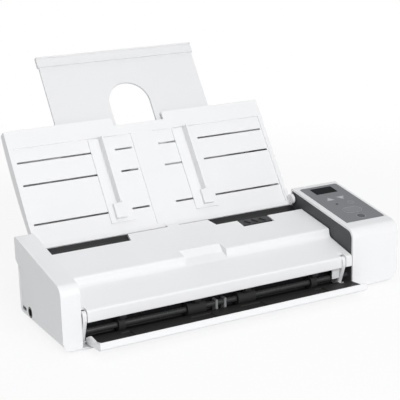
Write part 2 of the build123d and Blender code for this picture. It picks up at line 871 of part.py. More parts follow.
def turned(shape):
    return Pos(middle_x, rack_row, 0) * (Rot(0, 0, 180) * (Pos(-middle_x, -rack_row, 0) * shape))


def make_pinion():
    tip = pinion_radius + 0.7
    root = pinion_radius - 0.9
    wheel = Cylinder(root, rack_thickness)
    for i in range(pinion_teeth):
        tooth = Pos((root + tip) / 2 - 0.2, 0, 0) * Box(tip - root + 0.4, rack_tooth_pitch * 0.36, rack_thickness)
        wheel += Rot(0, 0, 360 / pinion_teeth * (i + 0.5)) * tooth
    wheel -= Cylinder(1.2 + running_gap, 10)
    return Pos(middle_x, rack_row, rack_level - rack_thickness / 2) * wheel


# Exit flap: a white shell with a thin dark liner that guides the sheet
def flap_floor_points():
    return [
        (flap_lip_y + 2.4, flap_pivot_z + 3.0),
        (flap_pivot_y - 2.8, flap_pivot_z + 0.55),
        (flap_pivot_y - 1.0, flap_pivot_z + 1.6),
    ]


def flap_ear_room():
    left = right_ear_x - 0.6
    return block(left, left + ear_width + 1.2, 0.2, 8, 0, 20)


def make_flap_shell():
    under = [(flap_pivot_y + 1.9, flap_pivot_z - 2.3), (flap_lip_y + 1.6, 7.0)]
    lip = [
        (flap_lip_y - 0.4, 8.8), (flap_lip_y - 0.2, flap_lip_z - 0.9), (flap_lip_y + 0.7, flap_lip_z),
        (flap_lip_y + 2.2, flap_lip_z - 0.6),
    ]
    knuckle = [(flap_pivot_y + 1.9, flap_pivot_z + 1.6)]
    x0 = flap_left_x
    x1 = right_block_x - flap_side_gap
    points = under + lip + flap_floor_points() + knuckle
    shell = side_prism(points, [1.8, 1.2, 1.4, 0, 0.6, 0, 0, 0, 0, 1.2], x0, x1)
    cheek = under + [
        (flap_lip_y + 0.9, flap_lip_z - 0.1), (flap_pivot_y - 16.5, flap_lip_z - 2.6),
        (flap_pivot_y - 5.2, flap_pivot_z + 5.8), (flap_pivot_y + 1.9, flap_pivot_z + 2.0),
    ]
    shell += side_prism(cheek, [1.8, 1.2, 0, 6.0, 1.5, 1.0], x0, x0 + 2.0)
    shell -= cross_rod(flap_pivot_y, flap_pivot_z, flap_pin_radius, x0 - 1, x0 + 8)
    shell -= cross_rod(flap_pivot_y, flap_pivot_z, flap_pin_radius, x1 - 5.5, x1 + 1)
    return shell - flap_ear_room()


def make_flap_liner():
    lip_top = (flap_lip_y + 2.25, flap_lip_z - 1.2)
    rear_low = (flap_pivot_y + 1.0, flap_pivot_z + 1.6)
    rear_top = (flap_pivot_y + 1.0, flap_pivot_z + 2.2)
    crest = (flap_pivot_y - 1.5, flap_pivot_z + 2.35)
    lip_foot = (flap_lip_y + 4.0, flap_pivot_z + 4.15)
    points = [lip_top] + flap_floor_points() + [rear_low, rear_top, crest, lip_foot, (flap_lip_y + 3.3, lip_top[1])]
    x0 = flap_left_x + 2.0
    x1 = right_block_x - flap_side_gap
    liner = side_prism(points, [0, 0, 0, 0, 0, 0, 0, 1.5, 0], x0, x1)
    fall = (lip_foot[1] - crest[1]) / (crest[0] - lip_foot[0])
    groove_low = flap_lip_y + 9.0
    groove_high = flap_pivot_y - 3.7
    low_z = crest[1] + fall * (crest[0] - groove_low)
    high_z = crest[1] + fall * (crest[0] - groove_high)
    groove = [
        (groove_low, low_z + 0.01), (groove_low + 1.5, low_z - 0.7), (groove_high - 0.8, high_z - 0.7),
        (groove_high, high_z + 0.01), (groove_high, high_z + 1), (groove_low, low_z + 1),
    ]
    for left, right in tyre_spans:
        cut = side_prism(groove, [0] * 6, left - 0.8, right + 0.8)
        liner -= cut
        liner -= mirrored(cut)
    return liner - flap_ear_room()


def make_flap_pins():
    left = cross_rod(flap_pivot_y, flap_pivot_z, flap_pin_radius, left_plate_outer + 0.3, flap_left_x + 7)
    right = cross_rod(
        flap_pivot_y, flap_pivot_z, flap_pin_radius, right_block_x - flap_side_gap - 5.5, right_plate_outer - 0.3
    )
    return Compound(children=[left, right])


# Control panel, drawn on the sloping top: x across, y up the slope, z out of the top
key_radius = 3.4


def triangle_key(x, y, size, grow, low, high):
    side = size + grow
    points = [(x - side, y - side * 0.62), (x + side, y - side * 0.62), (x, y + side * 0.85)]
    return Pos(0, 0, low) * extrude(make_face(Polyline(*points, close=True)), amount=high - low)


# Each key: its step to the right of the panel's middle, and its share of the panel's length
key_layout = {
    "up_key": (-6.5, 0.618),
    "down_key": (6.2, 0.618),
    "mode_key": (8.3, 0.458),
    "scan_key": (0.4, 0.277),
    "power_key": (0.4, 0.099),
}


def panel_place(step, share):
    return panel_middle_x + step, panel_front + share * (panel_rear - panel_front)


key_places = {name: panel_place(*layout) for name, layout in key_layout.items()}


def key_shape(name, grow, low, high):
    x, y = key_places[name]
    if name == "up_key":
        return triangle_key(x, y, 3.1, grow, low, high)
    if name == "down_key":
        flipped = triangle_key(0, 0, 3.1, grow, low, high)
        return Pos(x, y, 0) * (Rot(0, 0, 180) * flipped)
    if name == "scan_key":
        face = SlotOverall(17 + 2 * grow, 9.5 + 2 * grow)
        return Pos(x, y, low) * extrude(face, amount=high - low)
    radius = key_radius + grow if name == "power_key" else 2.4 + grow
    return Pos(x, y, (low + high) / 2) * Cylinder(radius, high - low)


def make_panel():
    plate = block(
        panel_left_x, panel_right_x, panel_front, panel_rear, -panel_recess, -panel_recess + panel_thickness
    )
    plate = fillet(plate.edges().filter_by(Axis.Z), 2.0)
    for name in key_places:
        plate -= key_shape(name, key_gap, -5, 5)
    plate -= lcd_block(fit_gap, -5, 5)
    plate -= led_shape(fit_gap, -5, 5)
    for x in (panel_left_x + 6.0, panel_right_x - 6.0):
        for y in (panel_front + 6.2, panel_rear - 6.2):
            plate += block(x - 1.1, x + 1.1, y - 1.1, y + 1.1, board_top, -panel_recess)
    return top_plane * plate


def lcd_block(grow, low, high):
    left = panel_middle_x - 11.7
    return block(left - grow, left + 23 + grow, panel_rear - 16.1 - grow, panel_rear - 3.7 + grow, low, high)


def led_shape(grow, low, high):
    x, y = panel_place(-5.9, 0.474)
    return Pos(x, y, (low + high) / 2) * Cylinder(1.1 + grow, high - low)


board_level = -6.0
board_top = board_level + 1.6
stem_length = 0.25


def make_key(name):
    flange_top = -panel_recess - 0.05
    cap = key_shape(name, 0, flange_top, 0.45)
    box = cap.bounding_box()
    flange = block(box.min.X - 0.9, box.max.X + 0.9, box.min.Y - 0.9, box.max.Y + 0.9, flange_top - 1.0, flange_top)
    x, y = key_places[name]
    stem = block(x - 1.2, x + 1.2, y - 1.2, y + 1.2, flange_top - 1.0 - stem_length, flange_top - 1.0)
    return top_plane * (cap + flange + stem)


def make_key_board():
    board = block(
        panel_left_x + 4.2, panel_right_x - 4.2, panel_front + 4.2, panel_rear - 4.2, board_level, board_top
    )
    switch_top = -panel_recess - 0.05 - 1.0 - stem_length - key_travel - 0.05
    for x, y in key_places.values():
        board += block(x - 1.8, x + 1.8, y - 1.8, y + 1.8, board_level, switch_top)
    return top_plane * board


def make_lcd():
    return top_plane * lcd_block(0, board_top, 0.15)


def make_led():
    return top_plane * led_shape(0, board_top, 0.5)


# Ports in the left block
def make_data_port():
    y, z = port_places()["data"]
    half = data_port_width / 2
    tall = data_port_height / 2
    shell = block(port_bay_depth + 0.1, left_plate_outer, y - half, y + half, z - tall, z + tall)
    shell -= block(-1, 9, y - half + 0.5, y + half - 0.5, z - tall + 0.5, z + tall - 0.5)
    tongue = block(2.2, 9.2, y - 2.9, y + 2.9, z - 0.35, z + 0.35)
    return shell + tongue


def make_power_jack():
    y, z = port_places()["power"]
    body = cross_rod(y, z, jack_body_radius, port_bay_depth + 0.1, left_plate_outer)
    return body - cross_rod(y, z, jack_radius, -1, port_bay_depth + 0.1 + jack_depth)


foot_length = 14.0
foot_width = 9.0
foot_inset_x = 24.0
foot_inset_y = 14.0


def make_feet():
    feet = []
    for x in (foot_inset_x, body_width - foot_inset_x):
        for y in (foot_inset_y, body_depth - lower_rear_step - foot_inset_y):
            feet.append(Pos(x, y, foot_height / 2) * Box(foot_length, foot_width, foot_height))
    return Compound(children=feet)


def build():
    os.makedirs("parts", exist_ok=True)
    save("left_cap", make_left_cap())
    save("right_cap", make_right_cap())
    save("left_side_plate", make_side_plate(left_plate_inner, left_plate_outer))
    save("right_side_plate", make_side_plate(right_plate_inner, right_plate_outer))
    save("base_pan", make_base_pan())
    save("lower_guide", make_lower_guide())
    save("lower_glass", make_lower_glass())
    save("lower_sensor", make_lower_sensor())
    save("left_ear", make_ear(left_ear_x))
    save("right_ear", make_right_ear())
    save("cover_shell", make_cover_shell())
    save("upper_guide", make_upper_guide())
    save("upper_glass", make_upper_glass())
    save("upper_sensor", make_upper_sensor())
    save("separation_pad", make_separation_pad())
    save("left_cover_pin", make_cover_pin(left_ear_x + 0.2, left_ear_x + ear_width + 0.6 + wall))
    slot_left = right_ear_x - 0.6
    save("right_cover_pin", make_cover_pin(slot_left - wall, slot_left + ear_width + 1.2 + wall))
    save("latch_pad", make_latch_pad())
    save("exit_shaft", make_shaft(exit_y, exit_z, exit_shaft_radius))
    save("exit_tyres", make_tyres(exit_y, exit_z, exit_roller_radius, exit_shaft_radius, tyre_spans))
    save("shaft_saddles", make_shaft_saddles())
    save("drive_roller", make_driven_roller(drive_y, drive_z, drive_roller_radius, drive_shaft_radius, tyre_spans))
    save("feed_roller", make_driven_roller(feed_y, feed_z, feed_roller_radius, feed_shaft_radius, (inner_tyre,)))
    save("exit_idlers", make_idlers(exit_idler_y, exit_idler_z))
    save("drive_idlers", make_idlers(drive_idler_y, drive_idler_z))
    save("tray_bed", make_tray_bed())
    save("tray_back", make_tray_back())
    save("tray_pins", make_tray_pins())
    save("extension", make_extension())
    guide = make_guide()
    save("left_guide", tray_plane * guide)
    save("right_guide", tray_plane * mirrored(guide))
    rack = make_rack()
    keepers = make_rack_keepers()
    save("left_rack", tray_plane * (rack + keepers))
    save("right_rack", tray_plane * (turned(rack) + mirrored(keepers)))
    save("pinion", tray_plane * make_pinion())
    save("flap_shell", make_flap_shell())
    save("flap_liner", make_flap_liner())
    save("flap_pins", make_flap_pins())
    save("panel", make_panel())
    save("key_board", make_key_board())
    save("lcd", make_lcd())
    save("status_led", make_led())
    for name in key_places:
        save(name, make_key(name))
    save("data_port", make_data_port())
    save("power_jack", make_power_jack())
    save("feet", make_feet())


build()
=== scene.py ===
import json
from math import pi, radians

import bmesh
import bpy
from mathutils import Matrix, Vector


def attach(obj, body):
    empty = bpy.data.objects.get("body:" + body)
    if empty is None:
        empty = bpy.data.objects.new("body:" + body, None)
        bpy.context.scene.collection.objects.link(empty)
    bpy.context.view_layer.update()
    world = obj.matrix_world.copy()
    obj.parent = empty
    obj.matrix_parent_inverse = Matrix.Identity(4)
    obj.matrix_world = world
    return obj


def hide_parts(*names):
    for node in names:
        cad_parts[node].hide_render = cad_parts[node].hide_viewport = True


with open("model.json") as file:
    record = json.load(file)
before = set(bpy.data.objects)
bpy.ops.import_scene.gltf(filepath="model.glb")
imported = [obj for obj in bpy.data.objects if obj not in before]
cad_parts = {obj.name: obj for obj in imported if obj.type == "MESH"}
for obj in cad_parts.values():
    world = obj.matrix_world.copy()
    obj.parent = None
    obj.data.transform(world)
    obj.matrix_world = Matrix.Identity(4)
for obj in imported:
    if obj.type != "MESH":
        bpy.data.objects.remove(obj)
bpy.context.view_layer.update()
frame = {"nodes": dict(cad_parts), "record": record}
bodies_of_nodes = {
    node: body for body, nodes in frame["record"]["behaviour"]["bodies"].items() for node in nodes
}

# End caps, cover, tray and flap: injection moulded white plastic with a fine satin surface.
# The moulds leave small edge radii and a very fine grain that shows only in the highlights.
satin_white = (0.86, 0.862, 0.87)
satin_roughness = 0.36
grain_scale = 900.0
grain_height = 0.00002
cloud_scale = 14.0
darkest_tint = 0.975
lightest_tint = 1.015
shine_spread = 0.05
merge_distance = 2e-6
flat_angle = radians(0.2)
edge_angle = radians(32)
smooth_angle = radians(38)


def moulded_plastic(name, colour, roughness, grain=grain_scale, relief=0.25, coat=0.0):
    material = bpy.data.materials.new(name)
    material.use_nodes = True
    nodes, links = material.node_tree.nodes, material.node_tree.links
    shader = nodes["Principled BSDF"]
    shader.inputs["Coat Weight"].default_value = coat
    place = nodes.new("ShaderNodeTexCoord")
    speckle = nodes.new("ShaderNodeTexNoise")
    speckle.inputs["Scale"].default_value = grain
    speckle.inputs["Detail"].default_value = 2.0
    links.new(place.outputs["Object"], speckle.inputs["Vector"])
    cloud = nodes.new("ShaderNodeTexNoise")
    cloud.inputs["Scale"].default_value = cloud_scale
    cloud.inputs["Detail"].default_value = 3.0
    links.new(place.outputs["Object"], cloud.inputs["Vector"])
    tint = nodes.new("ShaderNodeMix")
    tint.data_type = "RGBA"
    tint.inputs["A"].default_value = (*[c * darkest_tint for c in colour], 1)
    tint.inputs["B"].default_value = (*[min(1, c * lightest_tint) for c in colour], 1)
    links.new(cloud.outputs["Fac"], tint.inputs["Factor"])
    links.new(tint.outputs["Result"], shader.inputs["Base Color"])
    shine = nodes.new("ShaderNodeMapRange")
    shine.inputs["To Min"].default_value = roughness - shine_spread
    shine.inputs["To Max"].default_value = roughness + shine_spread
    links.new(speckle.outputs["Fac"], shine.inputs["Value"])
    links.new(shine.outputs["Result"], shader.inputs["Roughness"])
    bump = nodes.new("ShaderNodeBump")
    bump.inputs["Strength"].default_value = relief
    bump.inputs["Distance"].default_value = grain_height
    links.new(speckle.outputs["Fac"], bump.inputs["Height"])
    links.new(bump.outputs["Normal"], shader.inputs["Normal"])
    return material


def finished(node, material, edge=0.0):
    """A moulded copy of a solid with its doubles merged, its edges softened and its curves smooth."""
    source = frame["nodes"][node]
    mesh = source.data.copy()
    shape = bmesh.new()
    shape.from_mesh(mesh)
    bmesh.ops.remove_doubles(shape, verts=shape.verts, dist=merge_distance)
    bmesh.ops.dissolve_limit(
        shape, angle_limit=flat_angle, use_dissolve_boundaries=False, verts=shape.verts, edges=shape.edges
    )
    shape.to_mesh(mesh)
    shape.free()
    mesh.polygons.foreach_set("use_smooth", [True] * len(mesh.polygons))
    mesh.set_sharp_from_angle(angle=smooth_angle)
    piece = bpy.data.objects.new(node + "_moulding", mesh)
    bpy.context.scene.collection.objects.link(piece)
    if edge:
        soften = piece.modifiers.new("edge", "BEVEL")
        soften.width = edge
        soften.segments = 2
        soften.limit_method = "ANGLE"
        soften.angle_limit = edge_angle
        soften.use_clamp_overlap = True
        soften.miter_outer = "MITER_ARC"
    flatten = piece.modifiers.new("flat_faces", "WEIGHTED_NORMAL")
    flatten.keep_sharp = not edge
    flatten.weight = 100
    baked = bpy.data.meshes.new_from_object(piece.evaluated_get(bpy.context.evaluated_depsgraph_get()))
    piece.modifiers.clear()
    piece.data = baked
    baked.materials.clear()
    baked.materials.append(material)
    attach(piece, bodies_of_nodes[node])
    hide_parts(node)


white_moulding = moulded_plastic("satin_white_moulding", colour=satin_white, roughness=satin_roughness)
cap_edge = 0.0012
for cap in ("left_cap", "right_cap"):
    finished(cap, white_moulding, edge=cap_edge)

# Base pan, rear ledge and the two ears: the same white plastic, left duller inside the machine.
# The side plates close the end blocks: the left one is white and the right one dark grey.
wall_edge = 0.0003
inner_white = moulded_plastic("inner_white_moulding", colour=(0.83, 0.832, 0.84), roughness=0.42)
inner_grey = moulded_plastic("inner_grey_moulding", colour=(0.055, 0.058, 0.062), roughness=0.5)
for frame_piece in ("base_pan", "left_ear", "right_ear"):
    finished(frame_piece, inner_white, edge=wall_edge)
finished("left_side_plate", inner_white)
finished("right_side_plate", inner_grey)

# Feet: four oblong pads of soft grey rubber, glued into the corners of the two end blocks.
# They hold the scanner a little above the table.
soft_edge = 0.0004
foot_rubber = moulded_plastic(
    "foot_rubber", colour=(0.10, 0.10, 0.105), roughness=0.8, grain=1400.0, relief=0.5
)
finished("feet", foot_rubber, edge=soft_edge)

# Base screws: steel screws with a cross recess fasten the pan to the frame from below.
# Their heads stand in the space that the feet leave under the floor of the pan.
turning_marks = (3000.0, 60.0, 60.0)
steel_shine = (0.18, 0.38)
screw_sides = 24
screw_tip_share = 0.8
screw_head_height = 0.0006


def ground_steel(name, colour=(0.56, 0.56, 0.57)):
    material = bpy.data.materials.new(name)
    material.use_nodes = True
    nodes, links = material.node_tree.nodes, material.node_tree.links
    shader = nodes["Principled BSDF"]
    shader.inputs["Base Color"].default_value = (*colour, 1)
    shader.inputs["Metallic"].default_value = 1.0
    place = nodes.new("ShaderNodeTexCoord")
    stretch = nodes.new("ShaderNodeMapping")
    stretch.inputs["Scale"].default_value = turning_marks
    links.new(place.outputs["Object"], stretch.inputs["Vector"])
    rings = nodes.new("ShaderNodeTexNoise")
    rings.inputs["Scale"].default_value = 1.0
    links.new(stretch.outputs["Vector"], rings.inputs["Vector"])
    shine = nodes.new("ShaderNodeMapRange")
    shine.inputs["To Min"].default_value = steel_shine[0]
    shine.inputs["To Max"].default_value = steel_shine[1]
    links.new(rings.outputs["Fac"], shine.inputs["Value"])
    links.new(shine.outputs["Result"], shader.inputs["Roughness"])
    return material


def base_screw_tree(material):
    tree = bpy.data.node_groups.new("base_screws", "GeometryNodeTree")
    for name in ("Head Radius", "Head Height", "Recess Width", "Span X", "Span Y"):
        tree.interface.new_socket(name, in_out="INPUT", socket_type="NodeSocketFloat")
    for name in ("Columns", "Rows"):
        tree.interface.new_socket(name, in_out="INPUT", socket_type="NodeSocketInt")
    tree.interface.new_socket("Centre", in_out="INPUT", socket_type="NodeSocketVector")
    tree.interface.new_socket("Screws", in_out="OUTPUT", socket_type="NodeSocketGeometry")
    nodes, links = tree.nodes, tree.links
    sizes = nodes.new("NodeGroupInput")
    head = nodes.new("GeometryNodeMeshCone")
    head.inputs["Vertices"].default_value = screw_sides
    tip = nodes.new("ShaderNodeMath")
    tip.operation = "MULTIPLY"
    tip.inputs[1].default_value = screw_tip_share
    links.new(sizes.outputs["Head Radius"], tip.inputs[0])
    links.new(tip.outputs["Value"], head.inputs["Radius Bottom"])
    links.new(sizes.outputs["Head Radius"], head.inputs["Radius Top"])
    links.new(sizes.outputs["Head Height"], head.inputs["Depth"])
    recess = nodes.new("GeometryNodeMeshBoolean")
    recess.operation = "DIFFERENCE"
    links.new(head.outputs["Mesh"], recess.inputs["Mesh 1"])
    for turned in (False, True):
        blade = nodes.new("GeometryNodeMeshCube")
        blade_size = nodes.new("ShaderNodeCombineXYZ")
        links.new(sizes.outputs["Head Radius"], blade_size.inputs["Y" if turned else "X"])
        links.new(sizes.outputs["Recess Width"], blade_size.inputs["X" if turned else "Y"])
        links.new(sizes.outputs["Head Height"], blade_size.inputs["Z"])
        links.new(blade_size.outputs["Vector"], blade.inputs["Size"])
        links.new(blade.outputs["Mesh"], recess.inputs["Mesh 2"])
    grid = nodes.new("GeometryNodeMeshGrid")
    links.new(sizes.outputs["Span X"], grid.inputs["Size X"])
    links.new(sizes.outputs["Span Y"], grid.inputs["Size Y"])
    links.new(sizes.outputs["Columns"], grid.inputs["Vertices X"])
    links.new(sizes.outputs["Rows"], grid.inputs["Vertices Y"])
    setting = nodes.new("GeometryNodeInstanceOnPoints")
    links.new(grid.outputs["Mesh"], setting.inputs["Points"])
    links.new(recess.outputs["Mesh"], setting.inputs["Instance"])
    place = nodes.new("GeometryNodeTransform")
    links.new(setting.outputs["Instances"], place.inputs["Geometry"])
    links.new(sizes.outputs["Centre"], place.inputs["Translation"])
    solid = nodes.new("GeometryNodeRealizeInstances")
    links.new(place.outputs["Geometry"], solid.inputs["Geometry"])
    paint = nodes.new("GeometryNodeSetMaterial")
    paint.inputs["Material"].default_value = material
    links.new(solid.outputs["Geometry"], paint.inputs["Geometry"])
    out = nodes.new("NodeGroupOutput")
    links.new(paint.outputs["Geometry"], out.inputs["Screws"])
    return tree


shaft_steel = ground_steel("ground_steel")
base_floor_z = 0.0015
screw_sizes = {
    "Head Radius": 0.0023,
    "Head Height": screw_head_height,
    "Recess Width": 0.0006,
    "Span X": 0.200,
    "Span Y": 0.050,
    "Columns": 3,
    "Rows": 2,
    "Centre": (-0.016, -0.044, base_floor_z - screw_head_height),
}
screws = bpy.data.objects.new("base_screws", bpy.data.meshes.new("base_screws"))
bpy.context.scene.collection.objects.link(screws)
setter = screws.modifiers.new("screws", "NODES")
setter.node_group = base_screw_tree(shaft_steel)
for socket in setter.node_group.interface.items_tree:
    if socket.in_out == "INPUT":
        setter[socket.identifier] = screw_sizes[socket.name]
set_screws = bpy.data.meshes.new_from_object(screws.evaluated_get(bpy.context.evaluated_depsgraph_get()))
screws.modifiers.clear()
screws.data = set_screws
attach(screws, "chassis")

# Paper guides and sensor bars: black plastic with a dull face, so that no light strays to the sensors.
# The lower pair is fixed in the base and the upper pair rides in the cover.
black_guide = moulded_plastic("black_guide_moulding", colour=(0.012, 0.012, 0.013), roughness=0.48)
for bar in ("lower_guide", "lower_sensor", "upper_guide", "upper_sensor"):
    finished(bar, black_guide)

# Scan windows: two strips of plain glass, laid into the paper guides in front of the sensor bars.
# Fine dust makes them a little uneven in their shine.
glass_tint = (0.30, 0.34, 0.34)
dust_scale = 60.0
glass_shine = (0.04, 0.12)


def scanner_glass(name):
    material = bpy.data.materials.new(name)
    material.use_nodes = True
    nodes, links = material.node_tree.nodes, material.node_tree.links
    shader = nodes["Principled BSDF"]
    shader.inputs["Base Color"].default_value = (*glass_tint, 1)
    shader.inputs["IOR"].default_value = 1.5
    place = nodes.new("ShaderNodeTexCoord")
    dust = nodes.new("ShaderNodeTexNoise")
    dust.inputs["Scale"].default_value = dust_scale
    links.new(place.outputs["Object"], dust.inputs["Vector"])
    haze = nodes.new("ShaderNodeMapRange")
    haze.inputs["To Min"].default_value = glass_shine[0]
    haze.inputs["To Max"].default_value = glass_shine[1]
    links.new(dust.outputs["Fac"], haze.inputs["Value"])
    links.new(haze.outputs["Result"], shader.inputs["Roughness"])
    return material


window_glass = scanner_glass("scan_window_glass")
for window in ("lower_glass", "upper_glass"):
    finished(window, window_glass)

# Shafts and pins: the exit shaft is coated glossy black and lies in grey saddles.
# The hinge pins of cover, tray and flap are ground steel.
small_edge = 0.0002
shaft_black = moulded_plastic(
    "black_shaft_coating", colour=(0.05, 0.05, 0.052), roughness=0.26, relief=0.05, coat=0.7
)
finished("exit_shaft", shaft_black)
saddle_grey = moulded_plastic("saddle_grey", colour=(0.30, 0.30, 0.31), roughness=0.4)
finished("shaft_saddles", saddle_grey, edge=small_edge)
for pin in ("left_cover_pin", "right_cover_pin", "tray_pins", "flap_pins"):
    finished(pin, shaft_steel)

# Tyres, rollers and idlers: black rubber with fine grooves round it, and hard plastic wheels whose
# near-black colour is a painted shade for the dark under the visor.
# The separation pad is a harder dark rubber that holds back the next sheet.
tyre_pitch = 0.0011
groove_depth = 0.0002
groove_relief = 0.5
wave_turn = 20


def grooved_rubber(name, pitch):
    material = moulded_plastic(name, colour=(0.020, 0.020, 0.021), roughness=0.72, relief=0.4)
    nodes, links = material.node_tree.nodes, material.node_tree.links
    place = nodes["Texture Coordinate"]
    grooves = nodes.new("ShaderNodeTexWave")
    grooves.bands_direction = "X"
    grooves.inputs["Scale"].default_value = 2 * pi / (wave_turn * pitch)
    links.new(place.outputs["Object"], grooves.inputs["Vector"])
    relief = nodes.new("ShaderNodeBump")
    relief.inputs["Strength"].default_value = groove_relief
    relief.inputs["Distance"].default_value = groove_depth
    links.new(grooves.outputs["Fac"], relief.inputs["Height"])
    links.new(nodes["Bump"].outputs["Normal"], relief.inputs["Normal"])
    links.new(relief.outputs["Normal"], nodes["Principled BSDF"].inputs["Normal"])
    return material


tyre_rubber = grooved_rubber("tyre_rubber", tyre_pitch)
for tyres in ("exit_tyres", "drive_roller", "feed_roller"):
    finished(tyres, tyre_rubber, edge=wall_edge)
# The idler wheels are painted near-black: a painted shade that stands for the dark under the visor, where
# the exit idlers hang.
idler_plastic_painted_shade = moulded_plastic("idler_plastic_painted_shade", colour=(0.03, 0.03, 0.031), roughness=0.4)
for idlers in ("exit_idlers", "drive_idlers"):
    finished(idlers, idler_plastic_painted_shade, edge=wall_edge)
pad_rubber = moulded_plastic(
    "separation_rubber", colour=(0.13, 0.13, 0.135), roughness=0.85, grain=1500.0, relief=0.6
)
finished("separation_pad", pad_rubber)

# Top cover: one stepped white shell with a finger grip in its front step and a hood at the back.
# Its latch is a black sliding pad with slanted grip ribs.
finished("cover_shell", white_moulding, edge=soft_edge)
latch_black = moulded_plastic("latch_black", colour=(0.022, 0.022, 0.024), roughness=0.42)
finished("latch_pad", latch_black, edge=small_edge)

# Input tray: a flat white bed with rows of slots, closed at the back by a bowed shell.
# The two guides ride in the slots and are joined behind the bed by racks and one pinion.
for board in ("tray_bed", "tray_back"):
    finished(board, white_moulding, edge=wall_edge)
extension_white = moulded_plastic("extension_white", colour=(0.79, 0.792, 0.80), roughness=0.40)
finished("extension", extension_white, edge=small_edge)
for guide in ("left_guide", "right_guide"):
    finished(guide, white_moulding, edge=small_edge)
gear_white = moulded_plastic("gear_white", colour=(0.70, 0.70, 0.67), roughness=0.4)
for rack in ("left_rack", "right_rack", "pinion"):
    finished(rack, gear_white)

# Exit flap: a shallow white tray hinged under the exit, where the sheets come out.
# A dull dark liner is laid into it.
finished("flap_shell", white_moulding, edge=wall_edge)
liner_shine = 0.25
black_liner = moulded_plastic("black_liner_moulding", colour=(0.030, 0.029, 0.028), roughness=0.55)
black_liner.node_tree.nodes["Principled BSDF"].inputs["Specular IOR Level"].default_value = liner_shine
finished("flap_liner", black_liner, edge=small_edge)

# Control panel: a blue-grey plate let into the right block, with a dark display and five keys.
# The keys press through the plate onto switches on a small circuit board.
fine_edge = 0.0001
panel_plastic = moulded_plastic("panel_plate", colour=(0.200, 0.207, 0.222), roughness=0.42)
finished("panel", panel_plastic, edge=small_edge)
board_lacquer = moulded_plastic("board_lacquer", colour=(0.02, 0.10, 0.045), roughness=0.35)
finished("key_board", board_lacquer)
display_shine = 0.1
display_window = moulded_plastic("display_window", colour=(0.006, 0.007, 0.008), roughness=0.45, relief=0.02)
display_window.node_tree.nodes["Principled BSDF"].inputs["Specular IOR Level"].default_value = display_shine
finished("lcd", display_window, edge=small_edge)
lamp_lens = moulded_plastic("lamp_lens", colour=(0.05, 0.11, 0.08), roughness=0.25, relief=0.02)
finished("status_led", lamp_lens, edge=fine_edge)
key_plastic = moulded_plastic("key_plastic", colour=(0.225, 0.232, 0.248), roughness=0.45)
pale_key_plastic = moulded_plastic("pale_key_plastic", colour=(0.50, 0.51, 0.53), roughness=0.45)
dark_key_plastic = moulded_plastic("dark_key_plastic", colour=(0.10, 0.104, 0.112), roughness=0.45)
for key in ("mode_key", "scan_key"):
    finished(key, key_plastic, edge=small_edge)
for key in ("up_key", "down_key"):
    finished(key, pale_key_plastic, edge=fine_edge)
finished("power_key", dark_key_plastic, edge=small_edge)

# Key outlines: a thin pale line of paint is printed on the panel round each key.
# The film is a few hundredths of a millimetre thick and follows the edge of the key.
outline_gap = 0.00030
outline_width = 0.00042
outline_film = 0.00003
level_tolerance = 1e-5


def key_press_axis(key):
    for joint in frame["record"]["behaviour"]["joints"]:
        if joint["child"] == key:
            return Vector(joint["axis"])


def face_level(node, up):
    return max(vert.co.dot(up) for vert in frame["nodes"][node].data.vertices)


def is_level(face, level, up):
    return all(level - vert.co.dot(up) < level_tolerance for vert in face.verts)


def key_border(key, up):
    """The border of a key's top face, as points in order."""
    shape = bmesh.new()
    shape.from_mesh(frame["nodes"][key].data)
    bmesh.ops.remove_doubles(shape, verts=shape.verts, dist=merge_distance)
    level = face_level(key, up)
    top = [face for face in shape.faces if is_level(face, level, up)]
    following = {}
    for face in top:
        for corner in face.loops:
            if sum(near in top for near in corner.edge.link_faces) == 1:
                following[corner.vert] = corner.link_loop_next.vert
    ring = [next(iter(following))]
    while following[ring[-1]] is not ring[0]:
        ring.append(following[ring[-1]])
    points = [vert.co.copy() for vert in ring]
    shape.free()
    return points


def widened(points, up, distance):
    """The same border moved outwards by one distance all round."""
    moved = []
    for before, here, after in zip(points[-1:] + points[:-1], points, points[1:] + points[:1]):
        first = (here - before).normalized().cross(up)
        second = (after - here).normalized().cross(up)
        moved.append(here + (first + second) / (1 + first.dot(second)) * distance)
    return moved


outline_shape = bmesh.new()
for key in ("up_key", "down_key", "mode_key", "scan_key", "power_key"):
    up = -key_press_axis(key)
    lift = face_level("panel", up) - face_level(key, up)
    border = key_border(key, up)
    rings = []
    for distance, height in (
        (outline_gap, lift),
        (outline_gap, lift + outline_film),
        (outline_gap + outline_width, lift + outline_film),
        (outline_gap + outline_width, lift),
    ):
        rings.append([outline_shape.verts.new(spot + up * height) for spot in widened(border, up, distance)])
    for ring, next_ring in zip(rings, rings[1:] + rings[:1]):
        for i in range(len(border)):
            j = (i + 1) % len(border)
            outline_shape.faces.new((ring[i], next_ring[i], next_ring[j], ring[j]))
bmesh.ops.recalc_face_normals(outline_shape, faces=outline_shape.faces)
outline_mesh = bpy.data.meshes.new("key_outlines")
outline_shape.to_mesh(outline_mesh)
outline_shape.free()
outline_mesh.materials.append(moulded_plastic("outline_paint", colour=(0.42, 0.43, 0.45), roughness=0.5))
outlines = bpy.data.objects.new("key_outlines", outline_mesh)
bpy.context.scene.collection.objects.link(outlines)
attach(outlines, "chassis")

# Ports in the left block: a plated data socket and a black power jack.
# Both stand in one bay of the block.
finished("data_port", ground_steel("plated_steel", colour=(0.66, 0.66, 0.67)))
finished("power_jack", latch_black)

# Floor: one wide sheet of matt white paper under the scanner, which keeps its soft shadow.
# Away from the scanner the paper is seen as plain white.
floor_size = 12.0
floor_white = 0.94
shadow_share = 0.84
shadow_reach = 0.30
white_reach = 0.75


